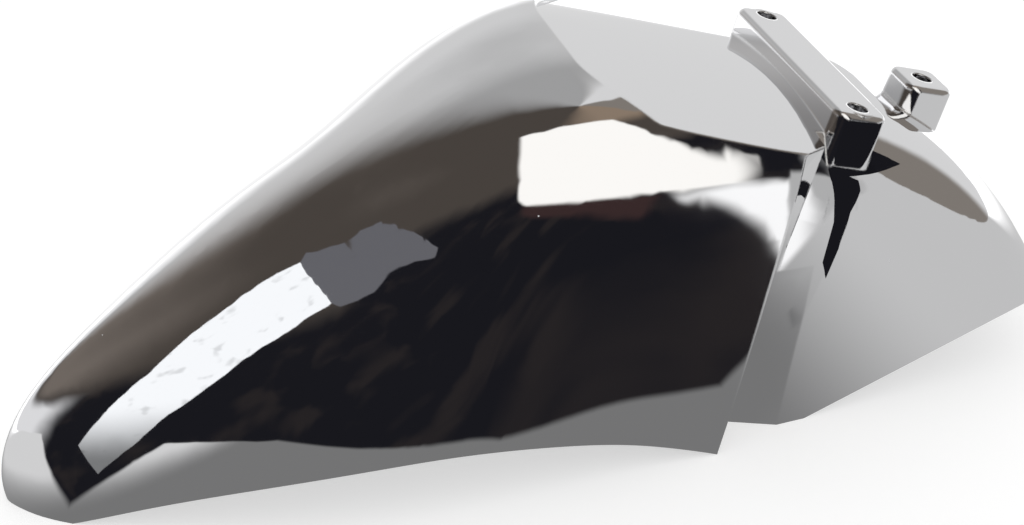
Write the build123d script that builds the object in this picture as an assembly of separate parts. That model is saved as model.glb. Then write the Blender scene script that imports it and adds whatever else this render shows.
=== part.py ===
from build123d import *
import os
from math import atan2, cos, degrees, hypot, pi, radians, sin, sqrt, tan

# Front mudguard for a small-wheeled motorcycle with a bottom-link fork, moulded as one hollow shell.
# The nose points to -X, the tail to +X and +Z is up. The guard stands on its nose lip and on the
# lower ends of its fork-leg channels, and the origin is the middle of its footprint. Millimetres.

# overall form
wall = 2.8
section_axis = (35.0, -200.0)     # x, z of the line across the guard that every cross-section passes through
leg_end_radius = 150.0            # how near to that line the untrimmed side walls run
front_turn, split_turn, tail_turn = 30.0, 104.0, 139.0    # degrees from the front; the lofts meet at the split

# crown lines at y = 0, seen from the side: from under the nose to the neck, and on to under the tail
front_crown = [(-274, -30), (-289, 26), (-217, 107.5), (-99, 180), (12, 221), (40, 220.5), (70, 217),
               (88, 212), (117, 201), (150, 188)]
tail_crown = [(117, 200), (150, 182), (180, 168), (207, 151), (235, 127.5), (263, 95), (305, 15)]

# cross-sections, as (turn, value) knots: depth of the rounded part and fullness of its corners
front_half_width, tail_half_width = 84.5, 67.5
front_depth = [(35, 197), (65, 160), (88, 105)]
front_fullness = [(35, 1.45), (65, 2.35), (88, 4.2), (98, 5.8)]
tail_depth = [(split_turn, 60)]
tail_fullness = [(split_turn, 4), (115, 3)]
panel_tuck_radius = 1800.0        # below the rounded part a side panel curves in again, this gently

# side panels and lower edges
panel_foot_x = 76.0               # where a panel's trailing edge meets the ground
panel_rake = 12.3                 # degrees that this edge leans back, as the fork leg does
arch_front_x = -261.0
arch_rise = 35.0                  # height of the lower edge at its middle
tail_foot_x = 134.0
tail_end_x, tail_edge_rise = 277.0, 48.0

# tail flanks: flat beside the bar, then tapered behind a line that leans back
taper_foot, taper_lean = (135.0, 87.0), 21.7     # x, z of a point on that line, and degrees from upright
taper_angle = 3.0

# fork seat: the sunken area on the crown that the fork's yoke sits on
seat_front_x, seat_half_width, seat_corner = 11.0, 82.0, 56.0
seat_slope = 17.6                 # degrees that the seat falls towards the tail
seat_cross_radius = 400.0         # it is a little convex across
seat_z = 199.0                    # its height at x = panel_foot_x

# fork-leg channels, one on each side: walls that twist from the panels' trailing edges to the flanks
channel_top_z = 170.0
channel_front_y = (48.0, 81.0)    # half width at the trailing edge, at the ground and at channel_top_z
channel_rear_x = (119.0, 140.0)   # where a wall meets the flank, at the ground and at channel_top_z
channel_reach = 110.0

# mounts, all square to the sloping seat
mount_rise = 10.0                 # top of the mounts above the middle of the seat
hole_radius = 5.75
bar_x, bar_span, bar_width, bar_corner = 153.9, 133.0, 31.0, 7.0
bar_hole_spacing = 114.0
bar_depth = 30.0
lug_x, lug_size, lug_corner = 221.9, 29.0, 7.0
lug_depth = 46.0
mount_edge_fillet = 3.5
mount_wall = 3.0
collar_radius, collar_depth = 9.0, 12.0


def ease(value, start, end):
    """0 before start, 1 after end and a smooth step between them."""
    t = min(max((value - start) / (end - start), 0.0), 1.0)
    return t * t * (3 - 2 * t)


def at_turn(turn, knots):
    """Value at this turn, eased from each (turn, value) knot to the next."""
    value = knots[0][1]
    for (start, low), (end, high) in zip(knots, knots[1:]):
        value += (high - low) * ease(turn, start, end)
    return value


def crown_point(turn, crown_line):
    """Where a crown line crosses the section plane at this turn, found by halving."""
    low, high = 0.0, 1.0
    for _ in range(30):
        middle = (low + high) / 2
        point = crown_line @ middle
        here = 180 - degrees(atan2(point.Z - section_axis[1], point.X - section_axis[0]))
        low, high = (middle, high) if here < turn else (low, middle)
    return point


def arch_section(turn, inset, crown_line, half_width, depth, fullness, tuck_radius=None):
    """Closed cross-section at this turn: a rounded arch that runs on into its side walls."""
    crown = crown_point(turn, crown_line)
    dx, dz = crown.X - section_axis[0], crown.Z - section_axis[1]
    radius = hypot(dx, dz) - inset
    deep = at_turn(turn, depth) - inset
    width = half_width - inset
    power = 2 / at_turn(turn, fullness)
    arch = []
    steps = 8
    for i in range(-steps, steps + 1):
        angle = abs(i) / steps * pi / 2
        side = width * sin(angle) ** power
        arch.append((radius - deep * (1 - cos(angle) ** power), side if i > 0 else -side))
    leg = radius - deep - leg_end_radius
    foot = width - (leg ** 2 / (2 * tuck_radius) if tuck_radius else 0)
    plane = Plane(origin=(section_axis[0], 0, section_axis[1]), x_dir=(dx, 0, dz), z_dir=(-dz, 0, dx))
    with BuildSketch(plane) as section:
        with BuildLine():
            top = Spline(*arch, tangents=((1, 0), (-1, 0)))
            for end, y in ((top @ 1, foot), (top @ 0, -foot)):
                if tuck_radius:
                    TangentArc(end, (leg_end_radius, y), tangent=(-1, 0))
                else:
                    Line(end, (leg_end_radius, y))
            Line((leg_end_radius, foot), (leg_end_radius, -foot))
        make_face()
    return section.sketch.face()


def turns(first, last, count):
    """Evenly spaced turns."""
    return [first + (last - first) * i / (count - 1) for i in range(count)]


def tail_taper(inset):
    """What a tail flank's taper removes on the camera's left: a slab beyond a leaning plane."""
    lean, taper = radians(taper_lean), radians(taper_angle)
    along = (sin(lean), 0, cos(lean))
    outward = (cos(lean) * sin(taper), -cos(taper), -sin(lean) * sin(taper))
    start = Plane(origin=(taper_foot[0], -tail_half_width, taper_foot[1]), x_dir=along, z_dir=outward)
    return extrude(start.offset(-inset) * Rectangle(600, 600, align=(Align.CENTER, Align.MAX)), amount=60)


def arch_body(inset):
    """The whole arch over the wheel, untrimmed, as a solid that is smaller all round by inset."""
    front_line = Spline(*[(x, 0, z) for x, z in front_crown])
    tail_line = Spline(*[(x, 0, z) for x, z in tail_crown])
    front = loft([arch_section(turn, inset, front_line, front_half_width, front_depth, front_fullness,
                               panel_tuck_radius) for turn in turns(front_turn, split_turn, 13)])
    tail = loft([arch_section(turn, inset, tail_line, tail_half_width, tail_depth, tail_fullness)
                 for turn in turns(split_turn, tail_turn, 7)])
    taper = tail_taper(inset)
    return front + (tail - taper - mirror(taper, Plane.XZ))


def seat_plane(x, rise=0.0):
    """Plane on the seat's slope at x: its x axis runs down towards the tail, its y axis across."""
    slope = radians(seat_slope)
    normal = Vector(sin(slope), 0, cos(slope))
    height = seat_z - (x - panel_foot_x) * tan(slope) + rise / cos(slope)
    return Plane(origin=(x, 0, height), x_dir=(cos(slope), 0, -sin(slope)), z_dir=normal)


def saddle(half_width, inset):
    """Everything below the seat's slightly convex surface, this wide, running down the seat's slope."""
    start = seat_plane(0)
    across = Plane(origin=start.origin, x_dir=(0, 1, 0), z_dir=start.x_dir)
    drop = seat_cross_radius - sqrt(seat_cross_radius ** 2 - half_width ** 2)
    deep = 280
    with BuildSketch(across) as profile:
        with BuildLine():
            ThreePointArc((-half_width, -drop - inset), (0, -inset), (half_width, -drop - inset))
            Polyline((half_width, -drop - inset), (half_width, -deep), (-half_width, -deep),
                     (-half_width, -drop - inset))
        make_face()
    return extrude(profile.sketch, amount=420)


def seat_cut(inset):
    """What the sunken seat removes: a round-cornered slot down to the saddle surface."""
    length, half_width = 400, seat_half_width + inset
    with BuildSketch(Plane.XY.offset(60)) as outline:
        with Locations((seat_front_x - inset + length / 2, 0)):
            RectangleRounded(length, 2 * half_width, seat_corner + inset)
    slot = extrude(outline.sketch, amount=240)
    return slot - saddle(channel_reach, inset)


def channel_cut(inset):
    """What one fork-leg channel removes, on the -Y side: a ruled block between two plan outlines."""
    faces = []
    for z in (-60.0, 240.0):
        front_x = panel_foot_x + z * tan(radians(panel_rake)) - inset
        part_way = z / channel_top_z
        front_y = channel_front_y[0] + part_way * (channel_front_y[1] - channel_front_y[0]) - inset
        rear_x = channel_rear_x[0] + part_way * (channel_rear_x[1] - channel_rear_x[0])
        rear_y = tail_half_width - inset
        with BuildSketch(Plane.XY.offset(z)) as plan:
            with BuildLine():
                Polyline((front_x, -channel_reach), (front_x, -front_y), (rear_x, -rear_y),
                         (rear_x, -channel_reach), close=True)
            make_face()
        faces.append(plan.sketch.face())
    return loft(faces, ruled=True)


def form(inset):
    """The guard's outer form, or its inner form when inset by the wall."""
    channel = channel_cut(inset)
    return arch_body(inset) - seat_cut(inset) - channel - mirror(channel, Plane.XZ)


def side_trim():
    """What lies above the lower edges, seen from the side."""
    high, out = 320.0, 330.0
    middle = (arch_front_x + panel_foot_x) / 2
    with BuildSketch(Plane.XZ) as profile:
        with BuildLine():
            ThreePointArc((arch_front_x, 0), (middle, arch_rise), (panel_foot_x, 0))
            Polyline((panel_foot_x, 0), (tail_foot_x, 0), (tail_end_x, tail_edge_rise), (out, tail_edge_rise),
                     (out, high), (-out, high), (-out, 0), (arch_front_x, 0))
        make_face()
    return extrude(profile.sketch, amount=150, both=True)


def mount_block(x, size_x, size_y, corner, depth, shrink=0.0):
    """A mount's rounded block, from its top face down, or its hollow when shrunk."""
    with BuildSketch(seat_plane(x, mount_rise - shrink)) as plan:
        RectangleRounded(size_x - 2 * shrink, size_y - 2 * shrink, corner - shrink)
    return extrude(plan.sketch, amount=-depth)


def hole_planes():
    """Plane of each bolt hole at the top face of its mount: the bar's two, then the lug's."""
    bar, lug = seat_plane(bar_x, mount_rise), seat_plane(lug_x, mount_rise)
    half = bar_hole_spacing / 2
    return [Plane(origin=bar.origin + Vector(0, y, 0), x_dir=bar.x_dir, z_dir=bar.z_dir)
            for y in (-half, half)] + [lug]


def mudguard():
    """The whole moulding, with its mounts hollow and open to the underside."""
    outer, inner, trim = form(0), form(wall), side_trim()
    blocks = [mount_block(bar_x, bar_width, bar_span, bar_corner, bar_depth),
              mount_block(lug_x, lug_size, lug_size, lug_corner, lug_depth)]
    upward = Axis((0, 0, 0), seat_plane(0).z_dir)
    blocks = [fillet(block.faces().sort_by(upward)[-1].edges(), mount_edge_fillet) for block in blocks]
    cores = [mount_block(bar_x, bar_width, bar_span, bar_corner, bar_depth - 2 * mount_wall, mount_wall),
             mount_block(lug_x, lug_size, lug_size, lug_corner, lug_depth - 2 * mount_wall, mount_wall)]
    collars = [extrude(plane * Circle(collar_radius), amount=-collar_depth) for plane in hole_planes()]
    holes = [extrude(plane * Circle(hole_radius), amount=-2 * collar_depth) for plane in hole_planes()]
    shell = outer - inner
    shell = shell + [block - inner for block in blocks]
    shell = shell - cores
    shell = shell + collars
    return (shell - holes) & trim


if __name__ == "__main__":
    os.makedirs("parts", exist_ok=True)
    shell = mudguard()
    export_step(shell, "parts/front_mudguard.step")
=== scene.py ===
import math

import bpy
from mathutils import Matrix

# Bright-plated front mudguard on a white table. Metres, +Z up, nose towards -X.

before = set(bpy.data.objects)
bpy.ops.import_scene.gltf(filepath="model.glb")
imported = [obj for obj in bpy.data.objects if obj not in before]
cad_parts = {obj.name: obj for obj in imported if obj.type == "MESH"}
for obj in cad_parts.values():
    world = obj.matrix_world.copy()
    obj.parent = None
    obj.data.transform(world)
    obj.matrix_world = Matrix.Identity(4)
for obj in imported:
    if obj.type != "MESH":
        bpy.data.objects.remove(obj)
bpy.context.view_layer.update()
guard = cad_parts["front_mudguard"]
print("frame loaded", len(guard.data.polygons), "faces")


# shader helpers

def newTree(owner):
    owner.use_nodes = True
    owner.node_tree.nodes.clear()
    return owner.node_tree


def addNode(tree, kind, **settings):
    node = tree.nodes.new(kind)
    for name, value in settings.items():
        setattr(node, name, value)
    return node


def feed(tree, socket, value):
    if isinstance(value, bpy.types.NodeSocket):
        tree.links.new(value, socket)
    else:
        socket.default_value = value


def calc(tree, operation, *values):
    node = addNode(tree, "ShaderNodeMath", operation=operation)
    for socket, value in zip(node.inputs, values):
        feed(tree, socket, value)
    return node.outputs[0]


def fade(tree, value, start, end):
    # 0 before start, 1 past end and a smooth step between them; it falls when start is the larger
    node = addNode(tree, "ShaderNodeMapRange", interpolation_type="SMOOTHSTEP")
    feed(tree, node.inputs["Value"], value)
    feed(tree, node.inputs["From Min"], min(start, end))
    feed(tree, node.inputs["From Max"], max(start, end))
    feed(tree, node.inputs["To Min"], 0.0 if start < end else 1.0)
    feed(tree, node.inputs["To Max"], 1.0 if start < end else 0.0)
    return node.outputs["Result"]


def area(tree, *steps):
    # 1 where every step is past its soft edge; each step is a value and its (start, end)
    mask = None
    for value, (start, end) in steps:
        step = fade(tree, value, start, end)
        mask = step if mask is None else calc(tree, "MULTIPLY", mask, step)
    return mask


def noiseOf(tree, place, scale, **inputs):
    node = addNode(tree, "ShaderNodeTexNoise")
    feed(tree, node.inputs["Vector"], place)
    feed(tree, node.inputs["Scale"], scale)
    for name, value in inputs.items():
        feed(tree, node.inputs[name], value)
    return node.outputs[0]


def splitOf(tree, vector):
    node = addNode(tree, "ShaderNodeSeparateXYZ")
    feed(tree, node.inputs[0], vector)
    return node.outputs["X"], node.outputs["Y"], node.outputs["Z"]


def blendColor(tree, factor, first, second):
    node = addNode(tree, "ShaderNodeMix", data_type="RGBA")
    feed(tree, node.inputs["Factor"], factor)
    feed(tree, node.inputs["A"], first)
    feed(tree, node.inputs["B"], second)
    return node.outputs["Result"]


def blendShader(tree, factor, first, second):
    node = addNode(tree, "ShaderNodeMixShader")
    feed(tree, node.inputs[0], factor)
    tree.links.new(first, node.inputs[1])
    tree.links.new(second, node.inputs[2])
    return node.outputs[0]


def glowOf(tree, strength):
    node = addNode(tree, "ShaderNodeEmission")
    feed(tree, node.inputs["Strength"], strength)
    return node


def toSurface(tree, shader, kind="ShaderNodeOutputMaterial"):
    tree.links.new(shader, addNode(tree, kind).inputs["Surface"])


# plating

plating = {
    "color": (0.86, 0.86, 0.87, 1.0),
    "roughness": 0.025,
    "edgeRadius": 0.0018,     # how far the solid's sharp edges look rounded, in metres
    "edgeSamples": 6,
    "waviness": 0.015,
    "waveScale": 18.0,
    "waveDepth": 0.002,
    "dustScale": 34.0,        # cells per metre: one speck at most in each
    "dustSize": (0.0252, 0.0108),  # where a speck starts and is full, as shares of a cell
    "dustShare": 0.35,        # how many cells hold a speck
    "dustColor": (0.75, 0.76, 0.78, 1.0),
    "dustRoughness": 0.6,     # added to the plating's own
}


def dustMask(tree, place):
    # 1 on small specks strewn over the surface: near the centre of some cells
    cells = addNode(tree, "ShaderNodeTexVoronoi")
    feed(tree, cells.inputs["Vector"], place)
    feed(tree, cells.inputs["Scale"], plating["dustScale"])
    near = area(tree, (cells.outputs["Distance"], plating["dustSize"]))
    pick = addNode(tree, "ShaderNodeSeparateColor")
    feed(tree, pick.inputs[0], cells.outputs["Color"])
    chosen = calc(tree, "LESS_THAN", pick.outputs[0], plating["dustShare"])
    return calc(tree, "MULTIPLY", near, chosen)


def platingMaterial():
    material = bpy.data.materials.new("brightPlating")
    tree = newTree(material)
    place = addNode(tree, "ShaderNodeTexCoord").outputs["Object"]
    edges = addNode(tree, "ShaderNodeBevel", samples=plating["edgeSamples"])
    feed(tree, edges.inputs["Radius"], plating["edgeRadius"])
    bump = addNode(tree, "ShaderNodeBump")
    feed(tree, bump.inputs["Normal"], edges.outputs["Normal"])
    feed(tree, bump.inputs["Height"], noiseOf(tree, place, plating["waveScale"], Detail=1.0))
    feed(tree, bump.inputs["Strength"], plating["waviness"])
    feed(tree, bump.inputs["Distance"], plating["waveDepth"])
    dust = dustMask(tree, place)
    color = blendColor(tree, dust, plating["color"], plating["dustColor"])
    roughness = calc(tree, "MULTIPLY_ADD", dust, plating["dustRoughness"], plating["roughness"])
    shader = addNode(tree, "ShaderNodeBsdfPrincipled")
    feed(tree, shader.inputs["Base Color"], color)
    feed(tree, shader.inputs["Metallic"], calc(tree, "SUBTRACT", 1.0, dust))
    feed(tree, shader.inputs["Roughness"], roughness)
    feed(tree, shader.inputs["Normal"], bump.outputs["Normal"])
    toSurface(tree, shader.outputs["BSDF"])
    return material


guard.data.materials.clear()
guard.data.materials.append(platingMaterial())
print("plating done")


# table: white and open to the camera; in the plating it ends near the guard, and the room shows past it

tableValues = {
    "size": 6.0,
    "color": (0.50, 0.50, 0.50, 1.0),
    "lift": 0.56,             # own light towards the camera, which brings the open table up to white
    "frontEdge": -0.137,      # y of the front edge near the middle; it comes forward to both sides
    "leftStart": -0.03,       # x where the left part starts to come forward, how far that goes on
    "leftLength": 0.2,
    "leftSlope": -0.5,
    "rightStart": 0.10,
    "rightSlope": -0.9,
    "leftEdge": (0.55, -0.258),    # x of the left edge: slope times y, plus this
    "rearEdge": (0.33, 0.049),     # y past which all is table: slope times x, plus this
    "softness": 0.004,
    # painted shadow of the guard on the table, as the plating shows it
    "glow": 0.20,             # beside the panels, where the guard shades the table
    "tailGlow": (0.10, 0.26, 0.40),    # from this x, to this x, how much is added
    "noseGlow": (-0.27, -0.36, 0.52),
    "farGlow": (0.08, 0.25, 0.80),     # the same along y
}


def pastLine(tree, value, line):
    soft = tableValues["softness"]
    return fade(tree, calc(tree, "SUBTRACT", value, line), -soft, soft)


def tableMask(tree, x, y):
    # 1 on the table: behind its front edge and right of its left edge, or far enough back
    leftPart = calc(tree, "MULTIPLY_ADD", x, -1.0, tableValues["leftStart"])
    leftPart = calc(tree, "MAXIMUM", calc(tree, "MINIMUM", leftPart, tableValues["leftLength"]), 0.0)
    rightPart = calc(tree, "MAXIMUM", calc(tree, "SUBTRACT", x, tableValues["rightStart"]), 0.0)
    front = calc(tree, "MULTIPLY_ADD", leftPart, tableValues["leftSlope"], tableValues["frontEdge"])
    front = calc(tree, "MULTIPLY_ADD", rightPart, tableValues["rightSlope"], front)
    left = calc(tree, "MULTIPLY_ADD", y, *tableValues["leftEdge"])
    rear = calc(tree, "MULTIPLY_ADD", x, *tableValues["rearEdge"])
    near = calc(tree, "MULTIPLY", pastLine(tree, y, front), pastLine(tree, x, left))
    return calc(tree, "MAXIMUM", near, pastLine(tree, y, rear))


def paintedTableShade(tree, x, y):
    # painted shade: how bright the table looks in the plating, dim beside the panels where the guard's
    # shadow is painted in and brighter towards the tail, nose and far side
    glow = tableValues["glow"]
    for place, name in ((x, "tailGlow"), (x, "noseGlow"), (y, "farGlow")):
        start, end, added = tableValues[name]
        glow = calc(tree, "MULTIPLY_ADD", fade(tree, place, start, end), added, glow)
    return glow


def tableMaterial():
    material = bpy.data.materials.new("whiteTable")
    tree = newTree(material)
    seen = addNode(tree, "ShaderNodeLightPath")
    x, y, _ = splitOf(tree, addNode(tree, "ShaderNodeTexCoord").outputs["Object"])
    diffuse = addNode(tree, "ShaderNodeBsdfDiffuse")
    feed(tree, diffuse.inputs["Color"], tableValues["color"])
    lift = glowOf(tree, calc(tree, "MULTIPLY", seen.outputs["Is Camera Ray"], tableValues["lift"]))
    plain = addNode(tree, "ShaderNodeAddShader")
    tree.links.new(diffuse.outputs[0], plain.inputs[0])
    tree.links.new(lift.outputs[0], plain.inputs[1])
    clear = addNode(tree, "ShaderNodeBsdfTransparent")
    # in the plating the table is a glow with its painted shade, not the lit table
    glow = glowOf(tree, paintedTableShade(tree, x, y))
    mirrored = blendShader(tree, tableMask(tree, x, y), clear.outputs[0], glow.outputs[0])
    toSurface(tree, blendShader(tree, seen.outputs["Is Glossy Ray"], plain.outputs[0], mirrored))
    return material


def addStage(name, corners, material):
    # one flat piece of the stage, with its corners in order
    mesh = bpy.data.meshes.new(name)
    mesh.from_pydata(corners, [], [tuple(range(len(corners)))])
    mesh.materials.append(material)
    piece = bpy.data.objects.new(name, mesh)
    bpy.context.scene.collection.objects.link(piece)
    return piece


half = tableValues["size"] / 2
addStage("table", [(-half, -half, 0), (half, -half, 0), (half, half, 0), (-half, half, 0)], tableMaterial())


# room: painted reflections, which only the plating shows past the table; to the camera and as light it is
# plain white

roomValues = {
    "dark": (0.0106, 0.0106, 0.0140, 1.0),
    "darkStripe": (0.0220, 0.0190, 0.0200, 1.0),
    "warmEdge": (0.0450, 0.0260, 0.0260, 1.0),
    "brown": (0.072, 0.061, 0.053, 1.0),
    "brownLeft": (0.181, 0.155, 0.136, 1.0),
    "warmTop": (0.280, 0.214, 0.160, 1.0),
    "horizon": (0.800, 0.800, 0.810, 1.0),
    "sideBand": (0.235, 0.212, 0.190, 1.0),
    "sidePale": (0.480, 0.480, 0.480, 1.0),
    "seatTone": (0.740, 0.740, 0.740, 1.0),
    "white": (1.100, 1.100, 1.100, 1.0),
    "window": (1.120, 1.100, 1.060, 1.0),
    "open": (1.0, 1.0, 1.0, 1.0),
    "backTone": 0.385,        # grey of the back wall high up
    "backMidTone": 0.30,      # added lower down
    "backLowTone": 0.50,      # added near the horizon
    "stripeScale": 7.0,
    "stripes": (0.5, 0.7),
    "windowSides": (          # planes through the window's four edges, facing its inside
        (0.921, -0.191, 0.34),
        (-0.395, -0.805, -0.443),
        (-0.928, -0.364, -0.085),
        (0.631, -0.081, 0.772),
    ),
    "windowSoft": 0.012,
    "sillSlope": 0.8,         # rise of the window's sill line for each degree to the left
    "patchSlope": 0.5,
}

# where each part of the room fades in, in degrees: around is 0 straight in front of the guard (-Y) and
# positive towards its tail, up is the rise above the horizon
roomEdges = {
    "brownUp": (9.0, 20.0),
    "brownLeftAround": (-60.0, -90.0),
    "brownLeftUp": (50.0, 22.0),
    "warmTopAround": (-30.0, 12.0),
    "warmTopUp": (44.0, 60.0),
    "horizonAround": (-66.0, -78.0),
    "horizonUp": (15.0, 9.0),
    "sideAround": (30.0, 36.0),
    "sideLow": (-5.0, -8.0),
    "lowSideAround": (26.8, 27.8),
    "lowSideUp": (-18.0, -21.0),
    "backAround": (126.0, 172.0),
    "backMid": (42.0, 22.0),
    "backLow": (14.0, -2.0),
    "rearNear": (88.0, 101.0),
    "rearFar": (168.0, 150.0),
    "rearLow": (-2.0, -6.0),
    "sillBottom": (-11.0, -9.0),
    "sillTop": (-5.0, -6.0),
    "sillLeft": (-12.0, -6.0),
    "sillRight": (21.0, 20.0),
    "patchLeft": (9.7, 10.7),
    "patchRight": (27.8, 26.8),
    "patchUp": (-21.0, -24.0),
}


def wallColor(tree, around, up, direction):
    # the room without its lights: dark towards the camera, brown above, pale at the back
    noise = noiseOf(tree, direction, roomValues["stripeScale"])
    stripes = area(tree, (noise, roomValues["stripes"]))
    color = blendColor(tree, stripes, roomValues["dark"], roomValues["darkStripe"])
    left = area(tree, (around, roomEdges["brownLeftAround"]), (up, roomEdges["brownLeftUp"]))
    brown = blendColor(tree, left, roomValues["brown"], roomValues["brownLeft"])
    warm = area(tree, (up, roomEdges["warmTopUp"]), (around, roomEdges["warmTopAround"]))
    brown = blendColor(tree, warm, brown, roomValues["warmTop"])
    color = blendColor(tree, area(tree, (up, roomEdges["brownUp"])), color, brown)
    low = area(tree, (around, roomEdges["horizonAround"]), (up, roomEdges["horizonUp"]))
    color = blendColor(tree, low, color, roomValues["horizon"])
    sideLow = area(tree, (up, roomEdges["sideLow"]))
    side = blendColor(tree, sideLow, roomValues["sideBand"], roomValues["sidePale"])
    lowSide = area(tree, (around, roomEdges["lowSideAround"]), (up, roomEdges["lowSideUp"]))
    sideMask = calc(tree, "MAXIMUM", area(tree, (around, roomEdges["sideAround"])), lowSide)
    color = blendColor(tree, sideMask, color, side)
    tone = roomValues["backTone"]
    for name in ("backMid", "backLow"):
        tone = calc(tree, "MULTIPLY_ADD", area(tree, (up, roomEdges[name])), roomValues[name + "Tone"], tone)
    pale = addNode(tree, "ShaderNodeCombineColor")
    for socket in pale.inputs[:3]:
        feed(tree, socket, tone)
    back = area(tree, (calc(tree, "ABSOLUTE", around), roomEdges["backAround"]))
    color = blendColor(tree, back, color, pale.outputs[0])
    rearLow = area(tree, (up, roomEdges["rearLow"]))
    rear = blendColor(tree, rearLow, roomValues["seatTone"], roomValues["white"])
    rearMask = area(tree, (around, roomEdges["rearNear"]), (around, roomEdges["rearFar"]))
    return blendColor(tree, rearMask, color, rear)


def windowMask(tree, direction):
    # 1 inside the window: on the inner side of the four planes through its edges
    soft = roomValues["windowSoft"]
    inside = []
    for side in roomValues["windowSides"]:
        node = addNode(tree, "ShaderNodeVectorMath", operation="DOT_PRODUCT")
        feed(tree, node.inputs[0], direction)
        feed(tree, node.inputs[1], side)
        inside.append((node.outputs["Value"], (-soft, soft)))
    return area(tree, *inside)


def roomColor(tree):
    direction = addNode(tree, "ShaderNodeTexCoord").outputs["Generated"]
    x, y, z = splitOf(tree, direction)
    degrees = math.degrees(1)
    turn = calc(tree, "ARCTAN2", x, calc(tree, "MULTIPLY", y, -1.0))
    around = calc(tree, "MULTIPLY", turn, degrees)
    up = calc(tree, "MULTIPLY", calc(tree, "ARCSINE", z), degrees)
    color = wallColor(tree, around, up, direction)
    sill = calc(tree, "MULTIPLY_ADD", around, roomValues["sillSlope"], up)
    warm = area(tree, (sill, roomEdges["sillBottom"]), (sill, roomEdges["sillTop"]),
                (around, roomEdges["sillLeft"]), (around, roomEdges["sillRight"]))
    color = blendColor(tree, warm, color, roomValues["warmEdge"])
    color = blendColor(tree, windowMask(tree, direction), color, roomValues["window"])
    slant = calc(tree, "MULTIPLY_ADD", up, roomValues["patchSlope"], around)
    patch = area(tree, (slant, roomEdges["patchLeft"]), (around, roomEdges["patchRight"]),
                 (up, roomEdges["patchUp"]))
    return blendColor(tree, patch, color, roomValues["white"])


def addWorld():
    world = bpy.data.worlds.new("studio")
    bpy.context.scene.world = world
    tree = newTree(world)
    seen = addNode(tree, "ShaderNodeLightPath")
    color = blendColor(tree, seen.outputs["Is Glossy Ray"], roomValues["open"], roomColor(tree))
    background = addNode(tree, "ShaderNodeBackground")
    feed(tree, background.inputs["Color"], color)
    toSurface(tree, background.outputs[0], "ShaderNodeOutputWorld")


addWorld()


# cards close to the guard, which only the plating shows: painted highlights and painted shade in its
# reflection

cardValues = {
    "noiseScale": 45.0,
    "blotches": (0.30, 0.42),
    "blotchLight": 0.75,      # light left in the blotches
    "lowEnd": (-0.205, -0.115),    # y on the card where it comes up to full light
    "lowLight": 0.20,
}

# painted highlight: a glowing streak card and a dim grey card beside it, no lamp; they light nothing and
# only the plating reflects them
paintedStreak = {                # corners across and up the card, from its centre
    "center": (-0.1668, -0.1696, 0.18),
    "azimuth": -40.0,
    "rise": 30.0,
    "bright": (
        (-0.199, -0.175), (-0.180, -0.121), (-0.159, -0.075), (-0.145, -0.029), (-0.107, 0.038),
        (-0.079, 0.051), (-0.004, -0.018), (-0.040, -0.047), (-0.073, -0.075), (-0.100, -0.113),
        (-0.124, -0.139), (-0.143, -0.175), (-0.176, -0.223),
    ),
    "brightColor": (1.08, 1.10, 1.12, 1.0),
    "dim": (
        (-0.079, 0.051), (-0.083, 0.063), (-0.055, 0.055), (-0.010, 0.012), (0.024, -0.018),
        (0.030, -0.034), (0.008, -0.026), (-0.004, -0.018),
    ),
    "dimColor": (0.14, 0.14, 0.155, 1.0),
}

# painted shade: dark sheets which only the plating reflects
darkCards = {                 # corners in the frame
    "end": ((0.142, -0.092, 0.175), (0.180, -0.070, 0.175), (0.190, -0.062, 0.150), (0.148, -0.0825, 0.145)),
    "wedge": (
        (0.1537, -0.0963, 0.1473), (0.1679, -0.0842, 0.1408), (0.1654, -0.0818, 0.1346),
        (0.1563, -0.0794, 0.1220), (0.1485, -0.0728, 0.1039), (0.1399, -0.0689, 0.0895),
        (0.1394, -0.0738, 0.0970), (0.1475, -0.0807, 0.1160), (0.1515, -0.0887, 0.1328),
    ),
    "color": (0.010, 0.010, 0.013, 1.0),
}


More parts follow.
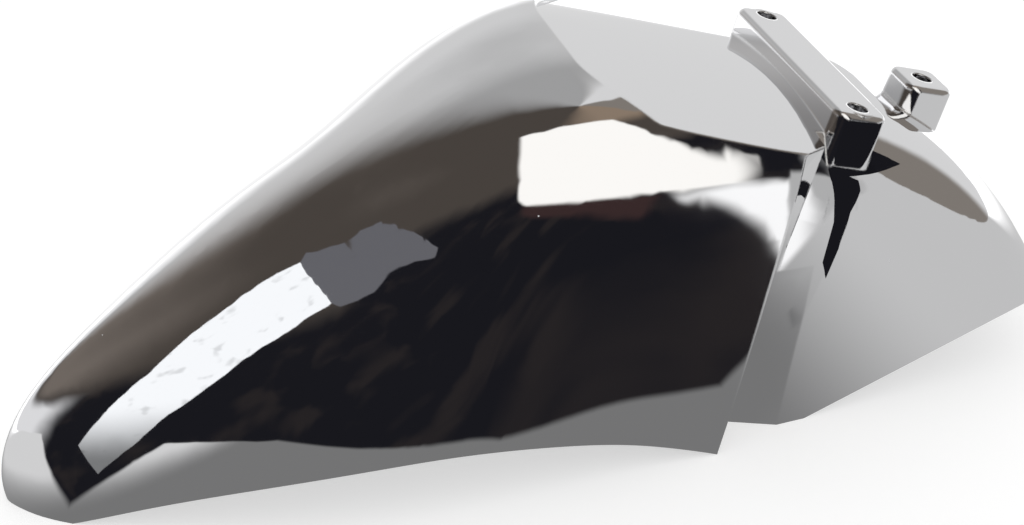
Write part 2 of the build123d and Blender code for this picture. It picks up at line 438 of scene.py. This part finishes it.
# painted reflection: the card glows in its colour, with blotches, and is dimmer towards its low end; it
# lights nothing
def cardMaterial(color):
    material = bpy.data.materials.new("cardGlow")
    tree = newTree(material)
    place = addNode(tree, "ShaderNodeTexCoord").outputs["Object"]
    blotches = area(tree, (noiseOf(tree, place, cardValues["noiseScale"]), cardValues["blotches"]))
    shade = calc(tree, "MULTIPLY_ADD", blotches, 1.0 - cardValues["blotchLight"], cardValues["blotchLight"])
    _, y, _ = splitOf(tree, place)
    low = area(tree, (y, cardValues["lowEnd"]))
    level = calc(tree, "MULTIPLY_ADD", low, 1.0 - cardValues["lowLight"], cardValues["lowLight"])
    glow = glowOf(tree, calc(tree, "MULTIPLY", level, shade))
    feed(tree, glow.inputs["Color"], color)
    toSurface(tree, glow.outputs[0])
    return material


def addCard(name, corners, color):
    card = addStage(name, corners, cardMaterial(color))
    card.visible_camera = False
    card.visible_diffuse = False
    card.visible_transmission = False
    card.visible_shadow = False
    return card


# painted shade: dark cards make the bar's end and the wedge below it dark in the plating
addCard("endShade", darkCards["end"], darkCards["color"])
addCard("wedgeShade", darkCards["wedge"], darkCards["color"])
# painted highlight: the bright streak card and the dim card beside it, placed and turned in front of the
# guard
for name in ("bright", "dim"):
    flat = [(across, along, 0) for across, along in paintedStreak[name]]
    card = addCard(name + "Card", flat, paintedStreak[name + "Color"])
    card.location = paintedStreak["center"]
    card.rotation_euler = (math.radians(90 - paintedStreak["rise"]), 0, math.radians(paintedStreak["azimuth"]))
print("stage done")


# camera

cameraValues = {
    "place": (-0.3237, -0.9452, 0.7121),
    "azimuth": 18.2,
    "elevation": 32.0,
    "focalPixels": 2200.0,
    "imageWidth": 1024.0,
    "sensor": 36.0,
}


def addCamera():
    data = bpy.data.cameras.new("camera")
    data.sensor_width = cameraValues["sensor"]
    data.lens = cameraValues["focalPixels"] / cameraValues["imageWidth"] * cameraValues["sensor"]
    camera = bpy.data.objects.new("camera", data)
    camera.location = cameraValues["place"]
    tilt = math.radians(90 - cameraValues["elevation"])
    camera.rotation_euler = (tilt, 0, -math.radians(cameraValues["azimuth"]))
    bpy.context.scene.collection.objects.link(camera)
    bpy.context.scene.camera = camera


addCamera()
bpy.context.scene.view_settings.view_transform = "Standard"
print("camera done")
